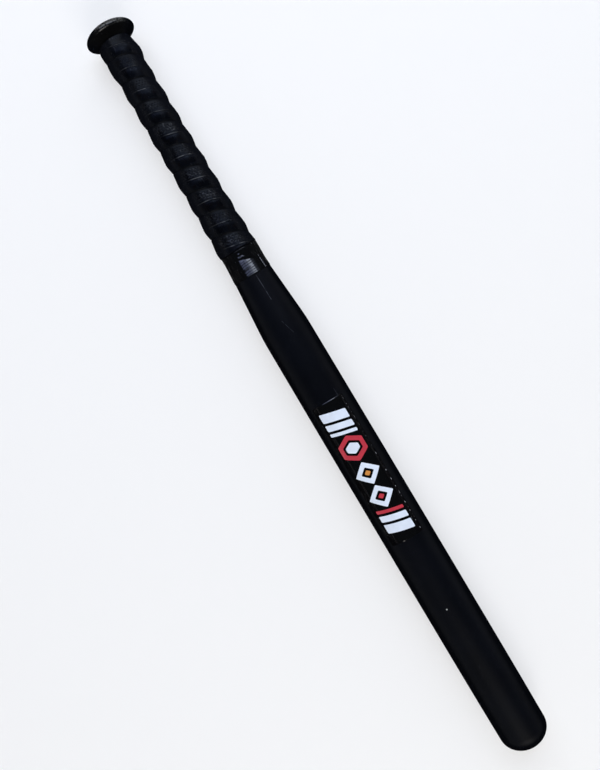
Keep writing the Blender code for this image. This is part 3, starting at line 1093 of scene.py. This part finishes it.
def add_print(name, motifs, label, ink, wood, colour):
    """The motifs of one colour, cut fine enough to bend round the barrel, with the ink's thickness."""
    bm = bmesh.new()
    for outline, part in motifs:
        shape = motif(outline, part, ink)
        flat = bpy.data.meshes.new("motif")
        shape.to_mesh(flat)
        shape.free()
        bm.from_mesh(flat)
        bpy.data.meshes.remove(flat)
    for i in range(1, ink.rows):
        cut_across(bm, (0, ink.middle + (i / ink.rows - 0.5) * ink.height, 0), (0, 1, 0))
    for i in range(1, ink.columns):
        cut_across(bm, (ink.start + i / ink.columns * ink.length, 0, 0), (1, 0, 0))
    bmesh.ops.recalc_face_normals(bm, faces=bm.faces[:])
    bmesh.ops.solidify(bm, geom=bm.faces[:], thickness=ink.thickness)
    lowest = min(point.co.z for point in bm.verts)
    bend_on_barrel(bm, label, wood, label.thickness + ink.seat - lowest)
    add_piece(name, bm, ink_finish(name, colour))


def ink_finish(name, colour):
    """Printed ink under a thin clear gloss, with faint unevenness."""
    finish = Finish(name)
    point = finish.place()
    cloud = finish.grain(point, 0.006, detail=3)
    pinholes = finish.fade(finish.grain(point, 0.0007, detail=1), 0.78, 0.84)
    even_ink = finish.mix(finish.fade(cloud, 0.25, 0.75), *shades(colour, 0.93, 1.0))
    shade = finish.mix(pinholes * 0.5, even_ink, shades(colour, 0.6)[0])
    return finish.set(Base_Color=shade, Roughness=0.24 + 0.12 * cloud, Specular_IOR_Level=0.5)


class BAT_OT_print(bpy.types.Operator):
    """Prints the label: slanted bars at both ends, and a hexagon and two diamonds between them"""

    bl_idname = "bat.print"
    bl_label = "Label print"

    def execute(self, context):
        label = plain(context.scene.bat_label)
        ink = plain(context.scene.bat_print)
        wood = Billet(context.scene.bat_billet)
        first_bars = [slanted_bar(0.0, 0.068), slanted_bar(0.088, 0.046), slanted_bar(0.154, 0.024)]
        last_bars = [slanted_bar(0.822, 0.046), slanted_bar(0.888, 0.068)]
        badge = hexagon(0.212, 0.412, 0.055)
        first_diamond, second_diamond = diamond(0.425, 0.600), diamond(0.610, 0.785)
        white = [(outline, "whole") for outline in first_bars + last_bars]
        white += [(badge, "core"), (first_diamond, "frame"), (second_diamond, "frame")]
        red = [(badge, "frame"), (second_diamond, "core"), (slanted_bar(0.778, 0.024), "whole")]
        orange = [(first_diamond, "core")]
        add_print("print_white", white, label, ink, wood, ink.white)
        add_print("print_red", red, label, ink, wood, ink.red)
        add_print("print_orange", orange, label, ink, wood, ink.orange)
        return {"FINISHED"}


def add_lamp(name, spot, aim, size, power, colour):
    """A soft rectangular lamp at a spot, turned to face the point it aims at."""
    lamp = bpy.data.lights.new(name, "AREA")
    lamp.shape = "RECTANGLE"
    lamp.size, lamp.size_y = size
    lamp.energy = power
    lamp.color = colour
    holder = put_in_scene(name, lamp)
    holder.location = spot
    holder.rotation_euler = (Vector(aim) - Vector(spot)).to_track_quat("-Z", "Y").to_euler()
    holder.visible_camera = False


def add_floor(stage):
    """A round pale floor that sweeps up into a backdrop."""
    sweep, flat = stage.sweep_radius, stage.floor_radius
    line = [(0.0, 0.0, 0.0), (flat * 0.5, 0.0, 0.0)]
    for i in range(17):
        turn = math.pi / 2 * i / 16
        line.append((flat + sweep * math.sin(turn), 0.0, sweep * (1 - math.cos(turn))))
    line.append((flat + sweep, 0.0, stage.backdrop_height))
    finish = Finish("pale_floor")
    cloud = finish.grain(finish.place(), 0.35, detail=2)
    tone = finish.mix(cloud, [c * 0.985 for c in stage.floor], stage.floor)
    finish.whiten(stage.whiteness)
    material = finish.set(Base_Color=tone, Roughness=0.8, Specular_IOR_Level=0.05)
    bm = turned(line, 96, centre=(0, 0, 0), axis=(0, 0, 1))
    floor = put_in_scene("floor", smooth_mesh("floor", bm, material))


def add_world(stage):
    """Dim, slightly blue air, so that what faces straight up mirrors almost nothing."""
    world = bpy.data.worlds.new("dim_air")
    world.use_nodes = True
    sky = world.node_tree.nodes["Background"]
    sky.inputs["Color"].default_value = (*stage.air, 1.0)
    sky.inputs["Strength"].default_value = stage.air_strength
    bpy.context.scene.world = world


class BAT_OT_stage(bpy.types.Operator):
    """Sets the floor, the soft lamps and the camera"""

    bl_idname = "bat.stage"
    bl_label = "Stage"

    def execute(self, context):
        stage = context.scene.bat_stage
        add_floor(stage)
        add_world(stage)
        for name, values in LAMPS.items():
            add_lamp(name, *values)
        camera = bpy.data.cameras.new("camera")
        camera.sensor_width = 36.0
        camera.lens = stage.lens
        camera.clip_start = 0.05
        camera.clip_end = 20.0
        holder = put_in_scene("camera", camera)
        holder.location = (*CAMERA_OVER, AXIS_HEIGHT + stage.camera_height)
        holder.rotation_euler = (0.0, 0.0, stage.camera_turn)
        context.scene.camera = holder
        context.scene.view_settings.view_transform = "Standard"
        return {"FINISHED"}


class BAT_PT_parts(bpy.types.Panel):
    """Lists the bat's pieces and their sizes"""

    bl_label = "Wooden bat"
    bl_space_type = "VIEW_3D"
    bl_region_type = "UI"
    bl_category = "Bat"

    def draw(self, context):
        for operator, name, _ in STEPS:
            box = self.layout.box()
            box.operator(operator.bl_idname)
            sizes = getattr(context.scene, name)
            for key in sizes.bl_rna.properties.keys():
                if key not in {"rna_type", "name"}:
                    box.prop(sizes, key, text=key.replace("_", " ").capitalize())


# Each operator, the name of its sizes in the scene, and their group
STEPS = (
    (BAT_OT_stage, "bat_stage", StageSizes),
    (BAT_OT_billet, "bat_billet", BilletSizes),
    (BAT_OT_tape, "bat_tape", TapeSizes),
    (BAT_OT_band, "bat_band", BandSizes),
    (BAT_OT_label, "bat_label", LabelSizes),
    (BAT_OT_print, "bat_print", PrintSizes),
)


def register():
    for operator, name, group in STEPS:
        bpy.utils.register_class(group)
        setattr(bpy.types.Scene, name, PointerProperty(type=group))
        bpy.utils.register_class(operator)
    bpy.utils.register_class(BAT_PT_parts)


def unregister():
    bpy.utils.unregister_class(BAT_PT_parts)
    for operator, name, group in reversed(STEPS):
        bpy.utils.unregister_class(operator)
        delattr(bpy.types.Scene, name)
        bpy.utils.unregister_class(group)


def main():
    register()
    bpy.ops.bat.stage()
    bpy.ops.bat.billet()
    bpy.ops.bat.tape()
    bpy.ops.bat.band()
    bpy.ops.bat.label()
    bpy.ops.bat.print()


if __name__ == "__main__":
    main()
